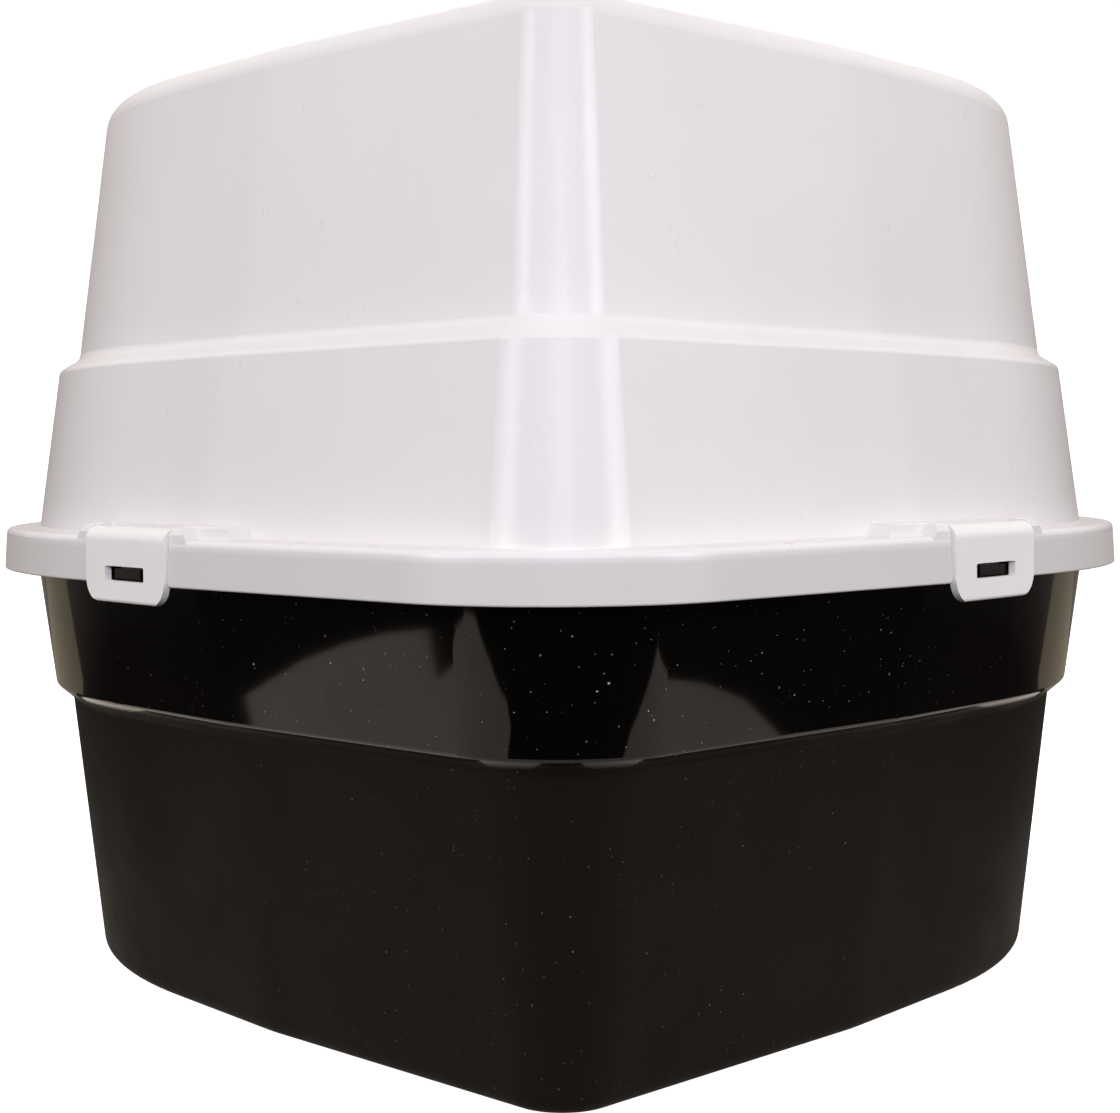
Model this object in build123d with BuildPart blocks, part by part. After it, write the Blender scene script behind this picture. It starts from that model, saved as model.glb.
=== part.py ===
from build123d import *
from math import sin, cos, tan, radians, sqrt
import os

os.makedirs("parts", exist_ok=True)

# Hooded corner litter box. Millimetres, +Z up, entry side toward -Y, the
# 90 degree back corner toward +Y, symmetric about the YZ plane.

# ---- driving dimensions: plan of the rim ------------------------------
half_w = 281.0          # half width over the rim
apex_y = 338.0          # sharp back corner of the rim, before rounding
bend_x = 160.0          # where the back walls bend
bend_deg = 50.3         # direction of the wall after the bend
front_y = -305.0        # front of the rim
front_flat = 130.0      # half length of the flat front
front_side_y = -287.0   # sharp front corner
side_r = 287.0          # side corner radius at the rim
front_r = 80.0          # front corner radius at the rim
bend_r = 90.0
flat_r = 260.0

# ---- driving dimensions: levels ---------------------------------------
wall_b = 3.0            # pan wall
wall_h = 2.8            # hood wall
floor_t = 3.2
z_total = 419.0
z_step_b0, in_step_b0 = 128.6, 31.8     # top of the lower pan wall
z_step_b1, in_step_b1 = 135.4, 23.8     # bottom of the upper pan band
z_brim, in_brim = 206.2, 14.4           # pan rim
in_floor = 46.0                         # inset of the pan foot
r_base = 25.0            # back corner at the floor
r_step = 44.0            # back corner at the top of the lower wall
r_brim = 56.0            # back corner of the upper band
z_fl_top = 212.0        # hood flange, outer part
z_fl_in = 212.6         # hood flange where it meets the wall
z_skirt = 192.4         # hood skirt bottom
in_fl = 0.0
r_fl = 80.0
in_band0, r_band0 = 17.0, 36.0          # hood lower band, bottom
z_band1, in_band1, r_band1 = 288.0, 27.6, 30.0
z_up0, in_up0, r_up0 = 293.6, 37.2, 24.0
in_up1, r_up1 = 53.6, 18.0
sill_z = 150.0          # lowered entry in the pan
entry_half = 125.0
entry_top = 382.0

# ---- driving dimensions: latches ---------------------------------------
latch_w = 67.4
notch_w = 69.0
z_hinge = 212.2
in_hinge = 5.6
pin_r = 1.5
pin_run = 0.06
barrel_r = 4.1
latch_t = 3.0
z_latch0 = 184.4
slot_w, slot_z0, slot_z1 = 33.4, 193.6, 199.8
ledge_in = 8.2           # set-back ledge beside each saddle
z_saddle = 216.8
z_lip = 194.6            # bottom of the pan's down-turned lip

s_bend = tan(radians(bend_deg))
side_y = apex_y - bend_x - (half_w - bend_x) * s_bend


def corners(inset):
    # offset of the sharp rim polygon, right half, back to front
    pts = [(0.0, apex_y), (bend_x, apex_y - bend_x), (half_w, side_y),
           (half_w, front_side_y), (front_flat, front_y), (0.0, front_y)]
    lines = []
    for (x0, y0), (x1, y1) in zip(pts, pts[1:]):
        n = sqrt((x1 - x0) ** 2 + (y1 - y0) ** 2)
        dx, dy = (x1 - x0) / n, (y1 - y0) / n
        lines.append((x0 + dy * inset, y0 - dx * inset, dx, dy))
    out = []
    x0, y0, dx, dy = lines[0]
    out.append((0.0, y0 - x0 * dy / dx))
    for (ax, ay, ux, uy), (bx, by, vx, vy) in zip(lines, lines[1:]):
        det = ux * (-vy) + uy * vx
        k = ((bx - ax) * (-vy) + (by - ay) * vx) / det
        out.append((ax + ux * k, ay + uy * k))
    return out


def outline(z, inset, r_back):
    c = corners(inset)
    ring = c + [(-x, y) for x, y in reversed(c[1:])]
    radii = [r_back, bend_r, side_r - inset, front_r - inset, flat_r]
    with BuildSketch(Plane.XY.offset(z)) as sk:
        with BuildLine():
            Polyline(*ring, close=True)
        make_face()
        for i, (x, y) in enumerate(c):
            for sx in ((1,) if i == 0 else (1, -1)):
                v = sk.vertices().sort_by_distance(Vector(sx * x, y, z))[0]
                fillet(v, radius=radii[i])
    return sk.sketch


def prism(levels):
    # stack of drafted slabs with the same kind of outline
    body = None
    for (z0, i0, r0), (z1, i1, r1) in zip(levels, levels[1:]):
        with BuildPart() as slab:
            loft(sections=[outline(z0, i0, r0), outline(z1, i1, r1)], ruled=True)
        body = slab.part if body is None else body + slab.part
    return body


def level_edge(e, z):
    b = e.bounding_box()
    return abs(b.min.Z - z) < 0.02 and abs(b.max.Z - z) < 0.02


def seat(place):
    # local frame on the rim edge: x along the wall, y outward, z up
    x, y, deg = place[:3]
    a = radians(deg)
    return Plane(origin=(x, y, 0), x_dir=(cos(a), sin(a), 0), z_dir=(0, 0, 1))


rear_x = 181.5
rear_y = apex_y - bend_x - (rear_x - bend_x) * s_bend
front_ly = -165.0
# right is +X; then ledge lengths beside the latch toward local -x and +x
seats = {
    "rear_right": (rear_x, rear_y, -bend_deg, 34.0, 14.0),
    "rear_left": (-rear_x, rear_y, bend_deg, 14.0, 34.0),
    "front_right": (half_w, front_ly, -90.0, 20.0, 20.0),
    "front_left": (-half_w, front_ly, 90.0, 20.0, 20.0),
}


def block(place, x0, x1, y0, y1, z0, z1):
    # box in a seat's local frame
    p = seat(place)
    with BuildPart() as b:
        with BuildSketch(Plane(origin=p.from_local_coords(Vector(0, 0, z0)), x_dir=p.x_dir, z_dir=p.z_dir)):
            with Locations(((x0 + x1) / 2, (y0 + y1) / 2)):
                Rectangle(x1 - x0, y1 - y0)
        extrude(amount=z1 - z0)
    return b.part


def rod(place, x0, x1, y, z, r):
    # cylinder along a seat's local x
    p = seat(place)
    with BuildPart() as b:
        with BuildSketch(Plane(origin=p.from_local_coords(Vector(x0, y, z)), x_dir=p.y_dir, z_dir=p.x_dir)):
            Circle(r)
        extrude(amount=x1 - x0)
    return b.part


def side_profile(place, x0, x1, build):
    # profile in a seat's local y, z plane, extruded along local x
    p = seat(place)
    with BuildPart() as b:
        with BuildSketch(Plane(origin=p.from_local_coords(Vector(x0, 0, 0)), x_dir=p.y_dir, z_dir=p.x_dir)):
            add(build())
        extrude(amount=x1 - x0)
    return b.part


def arch(half, z0, z_top, r_low, r_top, y0, y1):
    # doorway prism through the front wall
    with BuildPart() as b:
        with BuildSketch(Plane.XZ.offset(-y1)) as sk:
            with BuildLine():
                Polyline((-half, z0), (half, z0), (half - 9, z_top), (-half + 9, z_top), close=True)
            make_face()
            fillet(sk.vertices().group_by(Axis.Y)[-1], radius=r_top)
            if r_low > 0:
                fillet(sk.vertices().group_by(Axis.Y)[0], radius=r_low)
        extrude(amount=y1 - y0)
    return b.part


def notch_rounds(place):
    # rounds the two lower skirt corners beside a latch
    p = seat(place)
    h, r = notch_w / 2, 3.2
    with BuildPart() as b:
        with BuildSketch(Plane(origin=p.from_local_coords(Vector(0, 4.0, 0)), x_dir=p.x_dir, z_dir=-p.y_dir)):
            for sx in (1, -1):
                with Locations((sx * (h + r / 2 - 0.5), z_skirt + r / 2 - 0.5)):
                    Rectangle(r + 0.8, r + 0.8)
            for sx in (1, -1):
                with Locations((sx * (h + r - 0.1), z_skirt + r - 0.1)):
                    Circle(r, mode=Mode.SUBTRACT)
        extrude(amount=12.0)
    return b.part


# ======================= base pan =======================================
k_low = (in_floor - in_step_b0) / z_step_b0
k_band = (in_step_b1 - in_brim) / (z_brim - z_step_b1)
with BuildPart() as base_pan:
    add(prism([(0, in_floor, r_base), (z_step_b0, in_step_b0, r_step)]))
    fillet(base_pan.edges().group_by(Axis.Z)[0], radius=8.0)
    add(prism([(z_step_b0, in_step_b0, r_step), (z_step_b1, in_step_b1, r_brim - 2),
               (z_brim, in_brim, r_brim)]))
    fillet([e for e in base_pan.edges() if level_edge(e, z_step_b1)], radius=2.2)
    fillet([e for e in base_pan.edges() if level_edge(e, z_step_b0)], radius=3.0)
    # out-turned rim and its down-turned lip
    add(prism([(z_brim - 3.0, 4.4, r_fl - 4), (z_brim, 4.4, r_fl - 4)]))
    with BuildPart(mode=Mode.PRIVATE) as lip:
        add(prism([(z_lip, 4.4, r_fl - 4), (z_brim - 1.0, 4.4, r_fl - 4)]))
        add(prism([(z_lip - 1, 7.0, r_fl - 7), (z_brim - 0.5, 7.0, r_fl - 7)]), mode=Mode.SUBTRACT)
    add(lip.part)
    # inside of the pan
    with BuildPart(mode=Mode.PRIVATE) as hollow:
        add(prism([(floor_t, in_floor - k_low * floor_t + wall_b, r_base - 3),
                   (z_step_b0 + 1.6, in_step_b0 + wall_b, r_step - 3)]))
        fillet(hollow.edges().group_by(Axis.Z)[0], radius=7.0)
        add(prism([(z_step_b0 + 1.6, in_step_b0 + wall_b, r_step - 3),
                   (z_step_b1 + 1.6, in_step_b1 + wall_b, r_brim - 5),
                   (z_brim, in_brim + wall_b, r_brim - 3),
                   (z_brim + 6, in_brim + wall_b, r_brim - 3)]))
    add(hollow.part, mode=Mode.SUBTRACT)
    # lowered entry
    add(arch(entry_half - 4, sill_z, 260.0, 28.0, 5.0, -330.0, -240.0), mode=Mode.SUBTRACT)
    # catch nubs for the latches
    for place in seats.values():
        add(block(place, -11.0, 11.0, -5.6, -0.6, z_lip, 198.8))
base_pan.part.label = "base_pan"
export_step(base_pan.part, "parts/base_pan.step")

# ======================= hood ===========================================
# filter well in the roof
well_x, well_y, well_cy = 152.0, 122.0, 28.0
well_floor = 408.5
well_wall = 2.4
z_cover0, cover_t = 415.2, 3.0
cover_gap = 0.6
hx_y = well_cy + well_y / 2 - 4.8      # hinge line of the filter cover
hx_z = 414.6
hx_r = 3.1
cpin_r = 1.0


def roof_box(x, y, r, z0, z1, cy=well_cy):
    with BuildPart() as b:
        with BuildSketch(Plane.XY.offset(z0)):
            with Locations((0, cy)):
                RectangleRounded(x, y, r)
        extrude(amount=z1 - z0)
    return b.part


k_hb = (in_band1 - in_band0) / (z_band1 - z_fl_top)
k_hu = (in_up1 - in_up0) / (z_total - z_up0)
with BuildPart() as hood:
    # upper part, then the step and lower band
    add(prism([(z_up0, in_up0, r_up0), (z_total, in_up1, r_up1)]))
    fillet(hood.edges().group_by(Axis.Z)[-1], radius=13.0)
    add(prism([(z_fl_top - 2.0, in_band0 - 2.0 * k_hb, r_band0), (z_band1, in_band1, r_band1),
               (z_up0, in_up0, r_up0)]))
    fillet([e for e in hood.edges() if level_edge(e, z_band1)], radius=3.0)
    fillet([e for e in hood.edges() if level_edge(e, z_up0)], radius=5.0)
    # flange and skirt
    with BuildPart(mode=Mode.PRIVATE) as flange:
        add(prism([(z_skirt, in_fl, r_fl), (z_fl_top, in_fl + 1.2, r_fl - 1)]))
        fillet(flange.edges().group_by(Axis.Z)[-1], radius=2.8)
        fillet(flange.edges().group_by(Axis.Z)[0], radius=0.8)
        add(prism([(z_skirt - 2, in_fl + 2.6, r_fl - 3), (z_fl_top - 4.6, in_fl + 3.6, r_fl - 4)]),
            mode=Mode.SUBTRACT)
        add(prism([(z_fl_top - 1.0, in_fl + 4.0, r_fl - 4), (z_fl_top, in_fl + 6.0, r_fl - 6),
                   (z_fl_in, in_band0 + 1.0, r_band0)]))
    add(flange.part)
    # raised saddles round the latches
    with BuildPart(mode=Mode.PRIVATE) as ring:
        add(prism([(z_fl_top - 3.0, 1.1, r_fl - 1), (z_saddle - 3.0, 1.4, r_fl - 1), (z_saddle - 1.0, 2.4, r_fl - 2),
                   (z_saddle, 4.4, r_fl - 4)]))
        add(prism([(z_fl_top - 4.0, 11.2, r_fl - 11), (z_saddle + 1, 11.2, r_fl - 11)]), mode=Mode.SUBTRACT)
    with BuildPart(mode=Mode.PRIVATE) as shelf:
        add(prism([(z_fl_top - 2.0, ledge_in - 1.4, r_fl - 8), (z_saddle + 0.6, ledge_in, r_fl - 9)]))
        fillet(shelf.edges().group_by(Axis.Z)[-1], radius=1.2)
    for name, place in seats.items():
        p = seat(place)
        ra, rb = place[3], place[4]
        h = notch_w / 2
        with BuildPart(mode=Mode.PRIVATE) as ramp:
            with BuildSketch(Plane(origin=p.from_local_coords(Vector(0, 40, 0)), x_dir=p.x_dir, z_dir=-p.y_dir)):
                with BuildLine():
                    Polyline((-h - 12, z_fl_top - 3.0), (h + 12, z_fl_top - 3.0), (h + 11, z_fl_top - 0.4),
                             (h + 6.4, z_saddle + 0.6), (-h - 6.4, z_saddle + 0.6), (-h - 11, z_fl_top - 0.4),
                             close=True)
                make_face()
            extrude(amount=80)
        add(ramp.part & ring.part)
        # lower ledge set back toward the wall
        with BuildPart(mode=Mode.PRIVATE) as ledge:
            with BuildSketch(Plane(origin=p.from_local_coords(Vector(0, 40, 0)), x_dir=p.x_dir, z_dir=-p.y_dir)):
                with BuildLine():
                    Polyline((-h - ra, z_fl_top - 2.0), (h + rb, z_fl_top - 2.0), (h + rb - 5, z_saddle + 0.6),
                             (-h - ra + 5, z_saddle + 0.6), close=True)
                make_face()
            extrude(amount=80)
        add(ledge.part & shelf.part)
    # raised frame round the doorway
    with BuildPart(mode=Mode.PRIVATE) as frame:
        add(prism([(z_fl_top - 2.0, in_band0 - 2.6, r_band0), (z_band1 + 0.6, in_band1 - 2.6, r_band1),
                   (z_up0 + 0.6, in_up0 - 2.6, r_up0), (z_total - 12, in_up1 - 12 * k_hu - 2.6, r_up1)]))
    add(frame.part & arch(entry_half + 9, z_fl_top, entry_top + 9, 0, 78.0, -330.0, -235.0))
    # inside of the hood
    with BuildPart(mode=Mode.PRIVATE) as cabin:
        add(prism([(z_band1, in_up0 + wall_h + 1.0, r_up0 - 3), (z_total - wall_h, in_up1 + wall_h, r_up1 - 3)]))
        fillet(cabin.edges().group_by(Axis.Z)[-1], radius=10.0)
        add(prism([(z_fl_top - 6.0, in_band0 + wall_h, r_band0 - 3),
                   (z_band1 - 2.4, in_band1 + wall_h - 0.2, r_band1 - 3),
                   (z_up0 - 2.6, in_up0 + wall_h - 0.2, r_up0 - 3)]))
    add(cabin.part, mode=Mode.SUBTRACT)
    # doorway, through the skirt as well
    add(arch(entry_half, z_skirt - 4, entry_top, 0, 70.0, -330.0, -235.0), mode=Mode.SUBTRACT)
    # latch notches and pin holes
    for place in seats.values():
        add(block(place, -notch_w / 2, notch_w / 2, -11.4, 8.0, z_skirt - 4, z_saddle + 4), mode=Mode.SUBTRACT)
        add(rod(place, -notch_w / 2 - 6.2, notch_w / 2 + 6.2, -in_hinge, z_hinge, pin_r + 0.02), mode=Mode.SUBTRACT)
        add(notch_rounds(place), mode=Mode.SUBTRACT)
    # filter well hanging under the roof
    add(roof_box(well_x + 2 * well_wall, well_y + 2 * well_wall, 8.0, well_floor - 2.4, z_total - 1.0))
    add(roof_box(well_x, well_y, 6.0, well_floor, z_total + 2), mode=Mode.SUBTRACT)
    with BuildPart(mode=Mode.PRIVATE) as vents:
        with BuildSketch(Plane.XY.offset(well_floor - 4)):
            with Locations((0, well_cy - 4)):
                with GridLocations(0, 14.0, 1, 6):
                    SlotOverall(116, 6.0)
        extrude(amount=6)
    add(vents.part, mode=Mode.SUBTRACT)
    # finger scoop at the front of the well
    with BuildPart(mode=Mode.PRIVATE) as scoop:
        with BuildSketch(Plane.XY.offset(412.0)):
            with Locations((0, well_cy - well_y / 2)):
                RectangleRounded(34, 22, 8)
        extrude(amount=12)
    with BuildPart(mode=Mode.PRIVATE) as scoop_wall:
        with BuildSketch(Plane.XY.offset(409.6)):
            with Locations((0, well_cy - well_y / 2)):
                RectangleRounded(39, 27, 10)
        extrude(amount=8)
        add(roof_box(well_x, well_y, 6.0, 400, 430), mode=Mode.SUBTRACT)
    add(scoop_wall.part)
    add(scoop.part, mode=Mode.SUBTRACT)
    # holes of the cover pin
    with BuildPart(mode=Mode.PRIVATE) as cp:
        with BuildSketch(Plane.YZ.offset(-well_x / 2 - 1.8)):
            with Locations((hx_y, hx_z)):
                Circle(cpin_r + 0.02)
        extrude(amount=well_x + 3.6)
    add(cp.part, mode=Mode.SUBTRACT)
hood.part.label = "hood"
export_step(hood.part, "parts/hood.step")

# ======================= latches ========================================


def clip():
    # drawn in local y (outward), z (up)
    z0 = z_latch0
    with BuildSketch() as sk:
        with BuildLine():
            Line((-2.0, z_hinge - 4.1), (-2.0, z0 + 0.8))
            ThreePointArc((-2.0, z0 + 0.8), (-1.76, z0 + 0.24), (-1.2, z0))
            Line((-1.2, z0), (-0.4, z0))
            ThreePointArc((-0.4, z0), (0.62, z0 + 0.4), (1.1, z0 + 1.5))
            Line((1.1, z0 + 1.5), (1.0, z_hinge - 2.0))
            ThreePointArc((1.0, z_hinge - 2.0), (-0.7, z_hinge + 2.3), (-5.0, z_hinge + 4.1))
            Line((-5.0, z_hinge + 4.1), (-5.6, z_hinge + 4.1))
            ThreePointArc((-5.6, z_hinge + 4.1), (-9.7, z_hinge), (-5.6, z_hinge - 4.1))
            Line((-5.6, z_hinge - 4.1), (-2.0, z_hinge - 4.1))
        make_face()
    return sk.sketch


def latch_body(place):
    h = latch_w / 2
    with BuildPart() as b:
        add(side_profile(place, -h, h, clip))
        # rounded lower corners and top corners
        p = seat(place)
        with BuildPart(mode=Mode.PRIVATE) as trim:
            with BuildSketch(Plane(origin=p.from_local_coords(Vector(0, 20, 0)), x_dir=p.x_dir, z_dir=-p.y_dir)) as ts:
                with BuildLine():
                    Polyline((-h, 222.0), (h, 222.0), (h, z_latch0 - 1e-3), (-h, z_latch0 - 1e-3), close=True)
                make_face()
                fillet(ts.vertices().group_by(Axis.Y)[0], radius=10.5)
            extrude(amount=60)
        add(trim.part, mode=Mode.INTERSECT)
        # catch slot
        with BuildPart(mode=Mode.PRIVATE) as slot:
            with BuildSketch(Plane(origin=p.from_local_coords(Vector(0, 20, 0)), x_dir=p.x_dir, z_dir=-p.y_dir)):
                with Locations((0, (slot_z0 + slot_z1) / 2)):
                    RectangleRounded(slot_w, slot_z1 - slot_z0, 0.8)
            extrude(amount=60)
        add(slot.part, mode=Mode.SUBTRACT)
        add(rod(place, -h - 1, h + 1, -in_hinge, z_hinge, pin_r + pin_run), mode=Mode.SUBTRACT)
    return b.part


with BuildPart() as latch_rear_left:
    add(latch_body(seats["rear_left"]))
latch_rear_left.part.label = "latch_rear_left"
export_step(latch_rear_left.part, "parts/latch_rear_left.step")

with BuildPart() as latch_rear_right:
    add(latch_body(seats["rear_right"]))
latch_rear_right.part.label = "latch_rear_right"
export_step(latch_rear_right.part, "parts/latch_rear_right.step")

with BuildPart() as latch_front_left:
    add(latch_body(seats["front_left"]))
latch_front_left.part.label = "latch_front_left"
export_step(latch_front_left.part, "parts/latch_front_left.step")

with BuildPart() as latch_front_right:
    add(latch_body(seats["front_right"]))
latch_front_right.part.label = "latch_front_right"
export_step(latch_front_right.part, "parts/latch_front_right.step")

# ======================= latch pins =====================================
pin_l = notch_w + 12.0

with BuildPart() as latch_pin_rear_left:
    add(rod(seats["rear_left"], -pin_l / 2, pin_l / 2, -in_hinge, z_hinge, pin_r))
latch_pin_rear_left.part.label = "latch_pin_rear_left"
export_step(latch_pin_rear_left.part, "parts/latch_pin_rear_left.step")

with BuildPart() as latch_pin_rear_right:
    add(rod(seats["rear_right"], -pin_l / 2, pin_l / 2, -in_hinge, z_hinge, pin_r))
latch_pin_rear_right.part.label = "latch_pin_rear_right"
export_step(latch_pin_rear_right.part, "parts/latch_pin_rear_right.step")

with BuildPart() as latch_pin_front_left:
    add(rod(seats["front_left"], -pin_l / 2, pin_l / 2, -in_hinge, z_hinge, pin_r))
latch_pin_front_left.part.label = "latch_pin_front_left"
export_step(latch_pin_front_left.part, "parts/latch_pin_front_left.step")

with BuildPart() as latch_pin_front_right:
    add(rod(seats["front_right"], -pin_l / 2, pin_l / 2, -in_hinge, z_hinge, pin_r))
latch_pin_front_right.part.label = "latch_pin_front_right"
export_step(latch_pin_front_right.part, "parts/latch_pin_front_right.step")

# ======================= odour filter ===================================
pad_x, pad_y, pad_t = 144.0, 100.0, 5.0
pad_cy = well_cy - well_y / 2 + 1.6 + pad_y / 2

with BuildPart() as filter_pad:
    add(roof_box(pad_x, pad_y, 6.0, well_floor, well_floor + pad_t, cy=pad_cy))
    fillet(filter_pad.edges().group_by(Axis.Z)[-1], radius=1.2)
filter_pad.part.label = "filter_pad"
export_step(filter_pad.part, "parts/filter_pad.step")

cov_x = well_x - 2 * cover_gap
with BuildPart() as filter_cover:
    # vented plate from the hinge line to the front of the well
    y_front = well_cy - well_y / 2 + cover_gap
    with BuildSketch(Plane.XY.offset(z_cover0)):
        with Locations((0, (y_front + hx_y) / 2)):
            Rectangle(cov_x, hx_y - y_front)
    extrude(amount=cover_t)
    fillet(filter_cover.edges().filter_by(Axis.Z).group_by(Axis.Y)[0], radius=5.4)
    with BuildSketch(Plane.YZ.offset(-cov_x / 2 + 4)):
        with Locations((hx_y, hx_z)):
            Circle(hx_r)
        with Locations((hx_y - hx_r / 2, (hx_z + z_cover0 + cover_t) / 2)):
            Rectangle(hx_r, z_cover0 + cover_t - hx_z)
    extrude(amount=cov_x - 8)
    # relieved corners at the hinge
    with BuildSketch(Plane.XY.offset(z_cover0 - 3)):
        with Locations((0, hx_y)):
            with GridLocations(cov_x, 0, 2, 1):
                Rectangle(9.0, 20.0)
    extrude(amount=cover_t + 6, mode=Mode.SUBTRACT)
    # stiffening ribs under the plate, clear of the pad
    with BuildSketch(Plane.XY.offset(z_cover0 - 1.2)):
        with Locations((0, pad_cy)):
            with GridLocations(cov_x - 12, 0, 2, 1):
                Rectangle(2.0, 84.0)
    extrude(amount=1.2)
    with BuildSketch(Plane.XY.offset(z_cover0 - 2)):
        with Locations((0, (y_front + hx_y) / 2 - 5)):
            with GridLocations(0, 12.0, 1, 7):
                SlotOverall(122, 5.0)
    extrude(amount=cover_t + 4, mode=Mode.SUBTRACT)
    with BuildSketch(Plane.YZ.offset(-cov_x / 2 - 1)):
        with Locations((hx_y, hx_z)):
            Circle(cpin_r + 0.06)
    extrude(amount=cov_x + 2, mode=Mode.SUBTRACT)
filter_cover.part.label = "filter_cover"
export_step(filter_cover.part, "parts/filter_cover.step")

with BuildPart() as filter_cover_pin:
    with BuildSketch(Plane.YZ.offset(-well_x / 2 - 1.6)):
        with Locations((hx_y, hx_z)):
            Circle(cpin_r)
    extrude(amount=well_x + 3.2)
filter_cover_pin.part.label = "filter_cover_pin"
export_step(filter_cover_pin.part, "parts/filter_cover_pin.step")
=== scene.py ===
import bpy
import bmesh
import math
from mathutils import Vector, Matrix

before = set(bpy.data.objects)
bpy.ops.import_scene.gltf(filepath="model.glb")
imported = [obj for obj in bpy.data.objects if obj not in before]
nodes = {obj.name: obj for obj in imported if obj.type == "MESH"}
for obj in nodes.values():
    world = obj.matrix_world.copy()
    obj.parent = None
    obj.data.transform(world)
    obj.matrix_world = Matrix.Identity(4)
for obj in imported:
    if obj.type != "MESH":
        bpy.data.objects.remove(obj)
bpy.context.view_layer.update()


# ---------------------------------------------------------------- materials
class Mat:
    """Small helper round a node tree. All patterns are in object space, in metres."""

    def __init__(self, name):
        self.m = bpy.data.materials.new(name)
        self.m.use_nodes = True
        self.t = self.m.node_tree
        self.n, self.l = self.t.nodes, self.t.links
        self.b = self.n["Principled BSDF"]
        self.tc = self.n.new("ShaderNodeTexCoord")

    def coord(self):
        return self.tc.outputs["Object"]

    def node(self, kind, **props):
        x = self.n.new(kind)
        for k, v in props.items():
            setattr(x, k, v)
        return x

    def link(self, a, b):
        self.l.new(a, b)

    def noise(self, scale, detail=3.0, rough=0.5, vec=None):
        x = self.node("ShaderNodeTexNoise")
        x.inputs["Scale"].default_value = scale
        x.inputs["Detail"].default_value = detail
        x.inputs["Roughness"].default_value = rough
        self.link(vec or self.coord(), x.inputs["Vector"])
        return x.outputs["Fac"]

    def ramp(self, fac, stops):
        x = self.node("ShaderNodeValToRGB")
        e = x.color_ramp.elements
        while len(e) < len(stops):
            e.new(0.5)
        for el, (p, c) in zip(e, stops):
            el.position = p
            el.color = c if len(c) == 4 else (*c, 1)
        self.link(fac, x.inputs["Fac"])
        return x.outputs["Color"]

    def maprange(self, fac, a, b, c, d, smooth=False):
        x = self.node("ShaderNodeMapRange")
        if smooth:
            x.interpolation_type = "SMOOTHSTEP"
        x.inputs["From Min"].default_value = a
        x.inputs["From Max"].default_value = b
        x.inputs["To Min"].default_value = c
        x.inputs["To Max"].default_value = d
        self.link(fac, x.inputs["Value"])
        return x.outputs["Result"]

    def math(self, op, a, b=None):
        x = self.node("ShaderNodeMath", operation=op)
        for i, v in enumerate((a, b)):
            if v is None:
                continue
            if isinstance(v, (int, float)):
                x.inputs[i].default_value = v
            else:
                self.link(v, x.inputs[i])
        return x.outputs[0]

    def mix(self, fac, a, b):
        x = self.node("ShaderNodeMix", data_type="RGBA")
        for sock, v in ((x.inputs["Factor"], fac), (x.inputs["A"], a), (x.inputs["B"], b)):
            if isinstance(v, (int, float)):
                sock.default_value = v
            elif isinstance(v, tuple):
                sock.default_value = v if len(v) == 4 else (*v, 1)
            else:
                self.link(v, sock)
        return x.outputs["Result"]

    def bump(self, height, strength, distance, normal=None):
        x = self.node("ShaderNodeBump")
        x.inputs["Strength"].default_value = strength
        x.inputs["Distance"].default_value = distance
        self.link(height, x.inputs["Height"])
        if normal is not None:
            self.link(normal, x.inputs["Normal"])
        return x.outputs["Normal"]


def xyz(m):
    x = m.node("ShaderNodeSeparateXYZ")
    m.link(m.coord(), x.inputs[0])
    return x.outputs


def specks(m, scale, size, share, seed):
    """Round pale flecks: a few of the Voronoi cells hold one small dot each."""
    off = m.node("ShaderNodeVectorMath", operation="ADD")
    m.link(m.coord(), off.inputs[0])
    off.inputs[1].default_value = (seed, seed * 1.7, seed * 0.6)
    v = m.node("ShaderNodeTexVoronoi", feature="F1")
    v.inputs["Scale"].default_value = scale
    m.link(off.outputs[0], v.inputs["Vector"])
    dot = m.maprange(v.outputs["Distance"], size * scale * 0.6, size * scale, 1.0, 0.0, smooth=True)
    sep = m.node("ShaderNodeSeparateColor")
    m.link(v.outputs["Color"], sep.inputs[0])
    pick = m.maprange(sep.outputs[0], 1 - share - 0.001, 1 - share, 0.0, 1.0)
    level = m.maprange(sep.outputs[1], 0.0, 1.0, 0.10, 0.85)
    return m.math("MULTIPLY", m.math("MULTIPLY", dot, pick), level)


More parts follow.
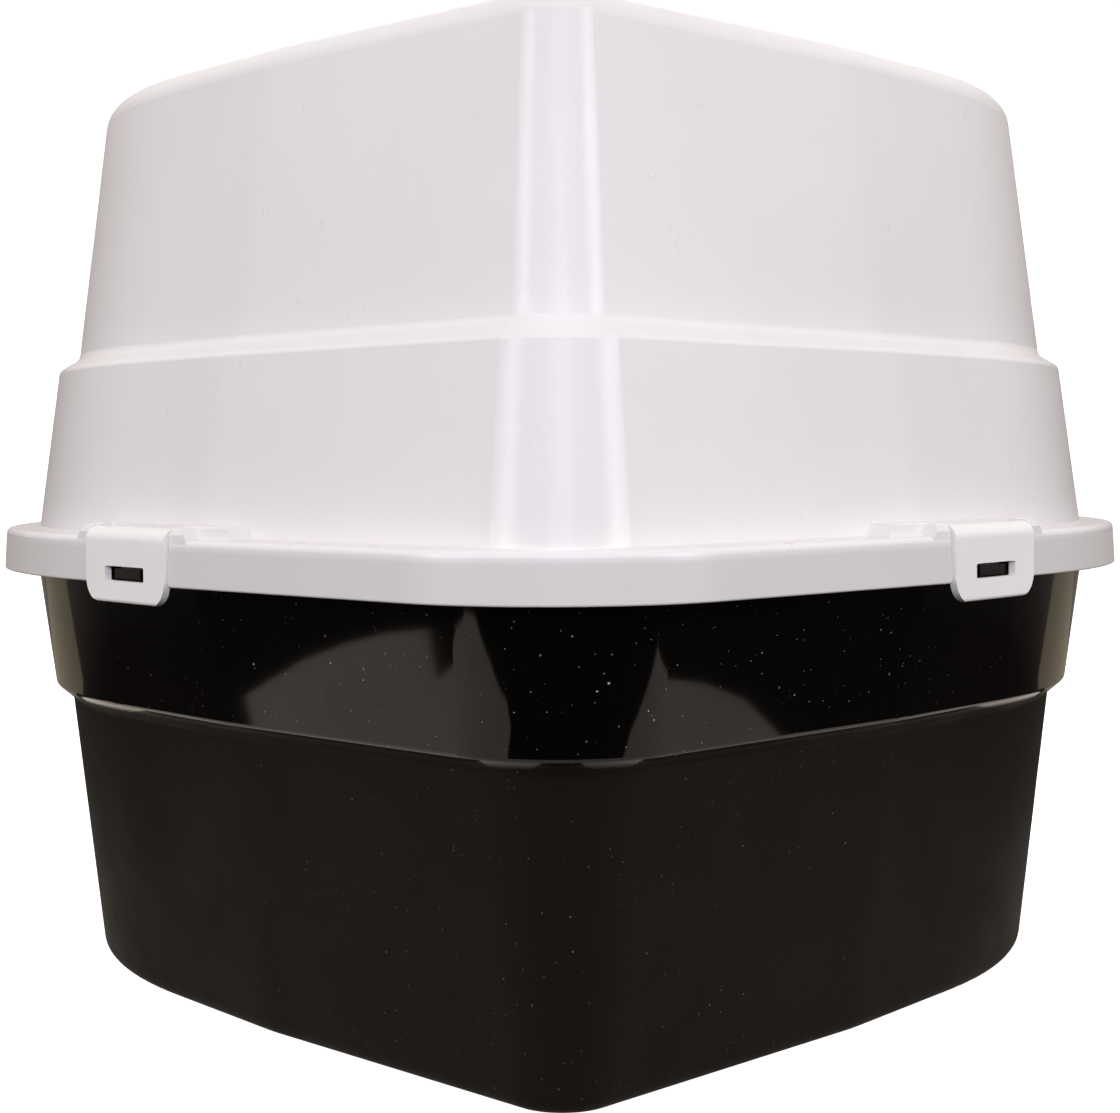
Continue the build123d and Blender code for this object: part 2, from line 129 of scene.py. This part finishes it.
def pearl(name, base, shade, rough, coat, skirt_painted_shade=None):
    """Moulded pearl-white plastic: soft gloss, faint flow clouding, fine orange peel; given a skirt colour, painted
    shade darkens the skirt.
    """
    m = Mat(name)
    cloud = m.noise(7.0, 4.0, 0.55)
    fine = m.noise(420.0, 2.0, 0.5)
    col = m.mix(m.maprange(cloud, 0.35, 0.68, 0.0, 1.0, True), base, shade)
    flake = m.maprange(m.noise(1500.0, 1.0, 0.5), 0.45, 0.75, 0.0, 0.12)
    col = m.mix(flake, col, (0.97, 0.965, 1.0))
    if skirt_painted_shade:
        # painted shade: the rolled skirt's colour is darkened below the rim top; the skirt is also a little duller in
        # gloss than the walls
        z = xyz(m)[2]
        col = m.mix(m.maprange(z, 0.2065, 0.2095, 0.45, 0.0, True), col, skirt_painted_shade)
    m.link(col, m.b.inputs["Base Color"])
    grain = m.maprange(m.math("ADD", m.noise(38.0, 3.0), m.math("MULTIPLY", fine, 0.3)), 0.4, 0.9, rough - 0.03, rough + 0.05)
    if skirt_painted_shade:
        dull = m.maprange(z, 0.2065, 0.2095, 1.0, 0.0, True)
        m.link(m.math("ADD", grain, m.math("MULTIPLY", dull, 0.2)), m.b.inputs["Roughness"])
        m.link(m.math("MULTIPLY", m.maprange(dull, 0.0, 1.0, 1.0, 0.2), coat), m.b.inputs["Coat Weight"])
    else:
        m.link(grain, m.b.inputs["Roughness"])
        m.b.inputs["Coat Weight"].default_value = coat
    peel = m.bump(m.noise(210.0, 2.0, 0.4), 0.10, 0.0004)
    wave = m.bump(m.noise(9.0, 2.0, 0.4), 0.18, 0.004, peel)
    m.link(wave, m.b.inputs["Normal"])
    m.b.inputs["IOR"].default_value = 1.48
    m.b.inputs["Coat Roughness"].default_value = 0.22
    m.b.inputs["Coat IOR"].default_value = 1.5
    return m.m


def satin(name, base, rough):
    m = Mat(name)
    tone = m.noise(26.0, 3.0)
    m.link(m.mix(m.maprange(tone, 0.35, 0.7, 0.0, 0.6), base, tuple(c * 0.955 for c in base)), m.b.inputs["Base Color"])
    grain = m.noise(900.0, 2.0, 0.6)
    m.link(m.maprange(m.noise(60.0, 3.0), 0.3, 0.7, rough - 0.05, rough + 0.07), m.b.inputs["Roughness"])
    m.link(m.bump(grain, 0.16, 0.00012), m.b.inputs["Normal"])
    m.b.inputs["IOR"].default_value = 1.47
    return m.m


def pan_black(name):
    """Near-black pan: mirror-smooth band under the rim, satin textured wall below the step, pale flecks."""
    m = Mat(name)
    x, y, z = xyz(m)
    band = m.maprange(z, 0.1315, 0.1345, 0.0, 1.0, True)
    inner = m.noise(3.5, 3.0)
    low = m.mix(m.maprange(inner, 0.3, 0.7, 0.0, 1.0), (0.0060, 0.0046, 0.0036), (0.0082, 0.0064, 0.0050))
    dark = m.mix(band, low, (0.0012, 0.0010, 0.0009))
    # flecks gather toward the back corner
    near = m.maprange(y, 0.08, 0.27, 0.14, 1.0, True)
    wall = m.maprange(band, 0.0, 1.0, 0.30, 1.0)
    dots = m.math("ADD", specks(m, 205.0, 0.00044, 0.36, 0.3), specks(m, 120.0, 0.00062, 0.16, 1.9))
    dots = m.math("ADD", dots, m.math("MULTIPLY", specks(m, 340.0, 0.00030, 0.42, 4.1), 0.65))
    dots = m.math("MINIMUM", m.math("MULTIPLY", m.math("MULTIPLY", dots, near), wall), 1.0)
    # scuffs low on the wall
    scuff = m.maprange(m.noise(55.0, 8.0, 0.72), 0.62, 0.74, 0.0, 1.0)
    lowz = m.maprange(z, 0.0, 0.022, 1.0, 0.0, True)
    scuff = m.math("MULTIPLY", m.math("MULTIPLY", scuff, lowz), 0.35)
    col = m.mix(scuff, dark, (0.06, 0.055, 0.05))
    col = m.mix(dots, col, (0.62, 0.58, 0.52))
    m.link(col, m.b.inputs["Base Color"])
    r_low = m.maprange(m.noise(30.0, 4.0), 0.3, 0.7, 0.54, 0.66)
    r_band = m.maprange(m.noise(14.0, 3.0), 0.3, 0.7, 0.05, 0.08)
    mixr = m.node("ShaderNodeMix", data_type="FLOAT")
    m.link(band, mixr.inputs["Factor"])
    m.link(r_low, mixr.inputs["A"])
    m.link(r_band, mixr.inputs["B"])
    m.link(m.math("ADD", mixr.outputs["Result"], m.math("MULTIPLY", scuff, 0.3)), m.b.inputs["Roughness"])
    # the band under the rim is polished
    smear = m.maprange(m.noise(14.0, 3.0), 0.35, 0.7, 1.0, 0.86)
    m.link(m.math("MULTIPLY", band, smear), m.b.inputs["Coat Weight"])
    m.b.inputs["Coat Roughness"].default_value = 0.05
    m.b.inputs["Coat IOR"].default_value = 1.46
    m.b.inputs["Specular IOR Level"].default_value = 0.10
    lo = m.maprange(z, 0.1315, 0.1345, 1.0, 0.0, True)
    tex = m.math("MULTIPLY", m.noise(1100.0, 2.0, 0.6), lo)
    n1 = m.bump(tex, 0.22, 0.00015)
    n2 = m.bump(m.noise(11.0, 2.0, 0.4), 0.10, 0.003, n1)
    m.link(n2, m.b.inputs["Normal"])
    m.b.inputs["IOR"].default_value = 1.46
    return m.m


def carbon(name):
    m = Mat(name)
    n = m.noise(420.0, 6.0, 0.75)
    m.link(m.ramp(n, [(0.3, (0.006, 0.006, 0.007)), (0.55, (0.02, 0.02, 0.022)), (0.75, (0.07, 0.07, 0.075))]), m.b.inputs["Base Color"])
    m.link(m.maprange(n, 0.3, 0.7, 0.85, 1.0), m.b.inputs["Roughness"])
    v = m.node("ShaderNodeTexVoronoi", feature="DISTANCE_TO_EDGE")
    v.inputs["Scale"].default_value = 300.0
    m.link(m.coord(), v.inputs["Vector"])
    m.link(m.bump(m.math("ADD", v.outputs["Distance"], n), 0.8, 0.0008), m.b.inputs["Normal"])
    m.b.inputs["Sheen Weight"].default_value = 0.25
    return m.m


# the hood's last colour is painted shade, darkening the skirt's colour below the rim top
M_HOOD = pearl("hood_pearl", (0.820, 0.795, 0.805), (0.798, 0.772, 0.775), 0.30, 0.5, (0.50, 0.475, 0.45))
M_COVER = pearl("cover_pearl", (0.800, 0.775, 0.770), (0.775, 0.750, 0.742), 0.32, 0.4)
M_LATCH = satin("latch_satin", (0.90, 0.885, 0.865), 0.42)
M_PIN = satin("pin_satin", (0.72, 0.71, 0.70), 0.36)
M_PAN = pan_black("pan_black")
M_CARBON = carbon("carbon_felt")

for name, o in nodes.items():
    if name == "base_pan":
        mat = M_PAN
    elif name == "hood":
        mat = M_HOOD
    elif name.startswith("latch_pin") or name == "filter_cover_pin":
        mat = M_PIN
    elif name.startswith("latch"):
        mat = M_LATCH
    elif name == "filter_pad":
        mat = M_CARBON
    else:
        mat = M_COVER
    o.data.materials.clear()
    o.data.materials.append(mat)

# ---------------------------------------------------------------- stage
def plain(name, color, rough):
    m = bpy.data.materials.new(name)
    m.use_nodes = True
    b = m.node_tree.nodes["Principled BSDF"]
    b.inputs["Base Color"].default_value = (*color, 1)
    b.inputs["Roughness"].default_value = rough
    b.inputs["Specular IOR Level"].default_value = 0.1
    return m


def cyclorama():
    """Pale floor that sweeps up into a wall on every side, far from the object."""
    bm = bmesh.new()
    seg, r_in, r_bend, h = 96, 3.2, 1.6, 4.5
    prof = [(0.0, 0.0), (1.2, 0.0), (r_in, 0.0)]
    for i in range(1, 13):
        a = math.pi / 2 * i / 12
        prof.append((r_in + r_bend * math.sin(a), r_bend * (1 - math.cos(a))))
    prof.append((r_in + r_bend, h))
    rings = []
    for r, z in prof:
        if r == 0:
            rings.append([bm.verts.new((0, 0, z))])
        else:
            rings.append([bm.verts.new((r * math.cos(2 * math.pi * k / seg), r * math.sin(2 * math.pi * k / seg), z)) for k in range(seg)])
    for a, b in zip(rings, rings[1:]):
        for k in range(seg):
            j = (k + 1) % seg
            if len(a) == 1:
                bm.faces.new((a[0], b[k], b[j]))
            else:
                bm.faces.new((a[k], b[k], b[j], a[j]))
    me = bpy.data.meshes.new("floor")
    bm.to_mesh(me)
    bm.free()
    for p in me.polygons:
        p.use_smooth = True
    o = bpy.data.objects.new("floor", me)
    bpy.context.scene.collection.objects.link(o)
    pale = plain("floor_pale", (0.80, 0.80, 0.80), 0.7)
    pale.node_tree.nodes["Principled BSDF"].inputs["Emission Color"].default_value = (1, 1, 1, 1)
    pale.node_tree.nodes["Principled BSDF"].inputs["Emission Strength"].default_value = 0.95
    me.materials.append(pale)
    o.visible_glossy = False
    o.visible_diffuse = False
    o.visible_shadow = False
    return o


cyclorama()


def floor_sheen(name, pts, color):
    """What the gloss band mirrors: the lit floor close to the object, dark beyond it. Seen in reflections only."""
    bm = bmesh.new()
    f = bm.faces.new([bm.verts.new((x, y, -0.001)) for x, y in pts])
    bmesh.ops.triangulate(bm, faces=[f])
    me = bpy.data.meshes.new(name)
    bm.to_mesh(me)
    bm.free()
    m = plain(name, (0.0, 0.0, 0.0), 0.9)
    b = m.node_tree.nodes["Principled BSDF"]
    b.inputs["Emission Color"].default_value = (*color, 1)
    b.inputs["Emission Strength"].default_value = 1.0
    me.materials.append(m)
    o = bpy.data.objects.new(name, me)
    bpy.context.scene.collection.objects.link(o)
    o.visible_camera = False
    o.visible_diffuse = False
    o.visible_shadow = False


floor_sheen("floor_sheen_a", [(0.0, 0.455), (0.10, 0.455), (0.19, 0.458), (0.225, 0.48), (0.232, 0.518), (0.268, 0.535), (0.39, 0.52),
                              (0.50, 0.49), (0.58, 0.47), (0.66, 0.40), (0.69, 0.31), (0.65, 0.217), (0.622, 0.208),
                              (0.755, 0.196), (0.768, 0.166), (0.760, 0.136), (0.737, 0.107), (0.70, 0.087), (0.672, 0.074), (0.60, 0.088), (0.53, 0.075),
                              (0.52, 0.02), (0.42, -0.30), (0.34, -0.62), (0.0, -0.62)], (0.60, 0.53, 0.46))
floor_sheen("floor_sheen_b", [(0.0, 0.455), (0.0, -0.62), (-0.34, -0.62), (-0.42, -0.30), (-0.47, 0.08), (-0.53, 0.150), (-0.60, 0.170),
                              (-0.62, 0.195), (-0.612, 0.225), (-0.61, 0.345), (-0.50, 0.39), (-0.40, 0.428), (-0.325, 0.452),
                              (-0.26, 0.456), (-0.20, 0.455), (-0.10, 0.455)], (0.54, 0.47, 0.41))
floor_sheen("floor_sheen_c", [(0.44, -0.34), (0.80, -0.46), (1.6, -1.25), (1.3, -1.9), (0.70, -1.30), (0.40, -0.70)], (0.215, 0.178, 0.125))
floor_sheen("floor_sheen_d", [(-0.44, -0.34), (-0.40, -0.70), (-0.70, -1.30), (-1.3, -1.9), (-1.6, -1.25), (-0.80, -0.46)], (0.215, 0.178, 0.125))


def area(name, loc, target, size, size_y, power, color=(1, 1, 1), spread=None):
    d = bpy.data.lights.new(name, "AREA")
    d.shape = "RECTANGLE"
    d.size, d.size_y, d.energy, d.color = size, size_y, power, color
    if spread:
        d.spread = spread
    o = bpy.data.objects.new(name, d)
    o.location = loc
    o.rotation_euler = (Vector(target) - Vector(loc)).to_track_quat("-Z", "Y").to_euler()
    bpy.context.scene.collection.objects.link(o)
    return o


key = area("key_behind_camera", (-0.08, 2.6, 1.0), (0, 0.2, 0.30), 0.9, 0.9, 31.5, (0.845, 0.875, 1.0))
key.visible_glossy = False
area("soft_a", (2.05, 1.10, 0.85), (0, 0.15, 0.25), 0.9, 1.6, 11.0, (0.97, 0.955, 1.0))
area("soft_b", (-2.12, 0.90, 0.85), (0, 0.15, 0.25), 0.9, 1.6, 13.0, (0.97, 0.955, 1.0))
area("top_soft", (0.0, -0.1, 2.6), (0, 0.0, 0.2), 2.4, 2.4, 3, (1.0, 0.975, 0.97))
area("front_fill", (0.0, -2.4, 1.5), (0, 0.0, 0.2), 1.8, 1.4, 12)

world = bpy.data.worlds.new("studio")
bpy.context.scene.world = world
world.use_nodes = True
wt = world.node_tree
bg = wt.nodes["Background"]
bg.inputs["Strength"].default_value = 1.0
wtc = wt.nodes.new("ShaderNodeTexCoord")
wsep = wt.nodes.new("ShaderNodeSeparateXYZ")
wramp = wt.nodes.new("ShaderNodeValToRGB")
wmap = wt.nodes.new("ShaderNodeMapRange")
wmap.inputs["From Min"].default_value = -1.0
wmap.inputs["From Max"].default_value = 1.0
el = wramp.color_ramp.elements
el[0].position, el[0].color = 0.40, (0.022, 0.018, 0.015, 1)
el[1].position, el[1].color = 0.78, (1.16, 1.085, 1.03, 1)
for at, tone in ((0.53, (0.27, 0.24, 0.22, 1)), (1.0, (0.36, 0.34, 0.33, 1))):
    el.new(at).color = tone
wt.links.new(wtc.outputs["Generated"], wsep.inputs[0])
wt.links.new(wsep.outputs[2], wmap.inputs["Value"])
wt.links.new(wmap.outputs["Result"], wramp.inputs["Fac"])
wt.links.new(wramp.outputs["Color"], bg.inputs["Color"])

# ---------------------------------------------------------------- camera
cam_data = bpy.data.cameras.new("camera")
cam = bpy.data.objects.new("camera", cam_data)
bpy.context.scene.collection.objects.link(cam)
bpy.context.scene.camera = cam
cam_data.sensor_fit = "HORIZONTAL"
cam_data.sensor_width = 36.0
cam_data.lens = 36.0 * 2112.6 / 1120.0
cam.location = (0.0, 0.338 + 0.6963, 0.2437)
pitch, roll = math.radians(2.636), 0.0054
look = Matrix.Rotation(math.pi, 4, "Z") @ Matrix.Rotation(math.pi / 2 - pitch, 4, "X") @ Matrix.Rotation(-roll, 4, "Z")
cam.rotation_euler = look.to_euler()
cam_data.clip_start = 0.02
cam_data.clip_end = 50

sc = bpy.context.scene
sc.view_settings.view_transform = "Standard"
sc.view_settings.look = "None"
sc.view_settings.exposure = 0.0
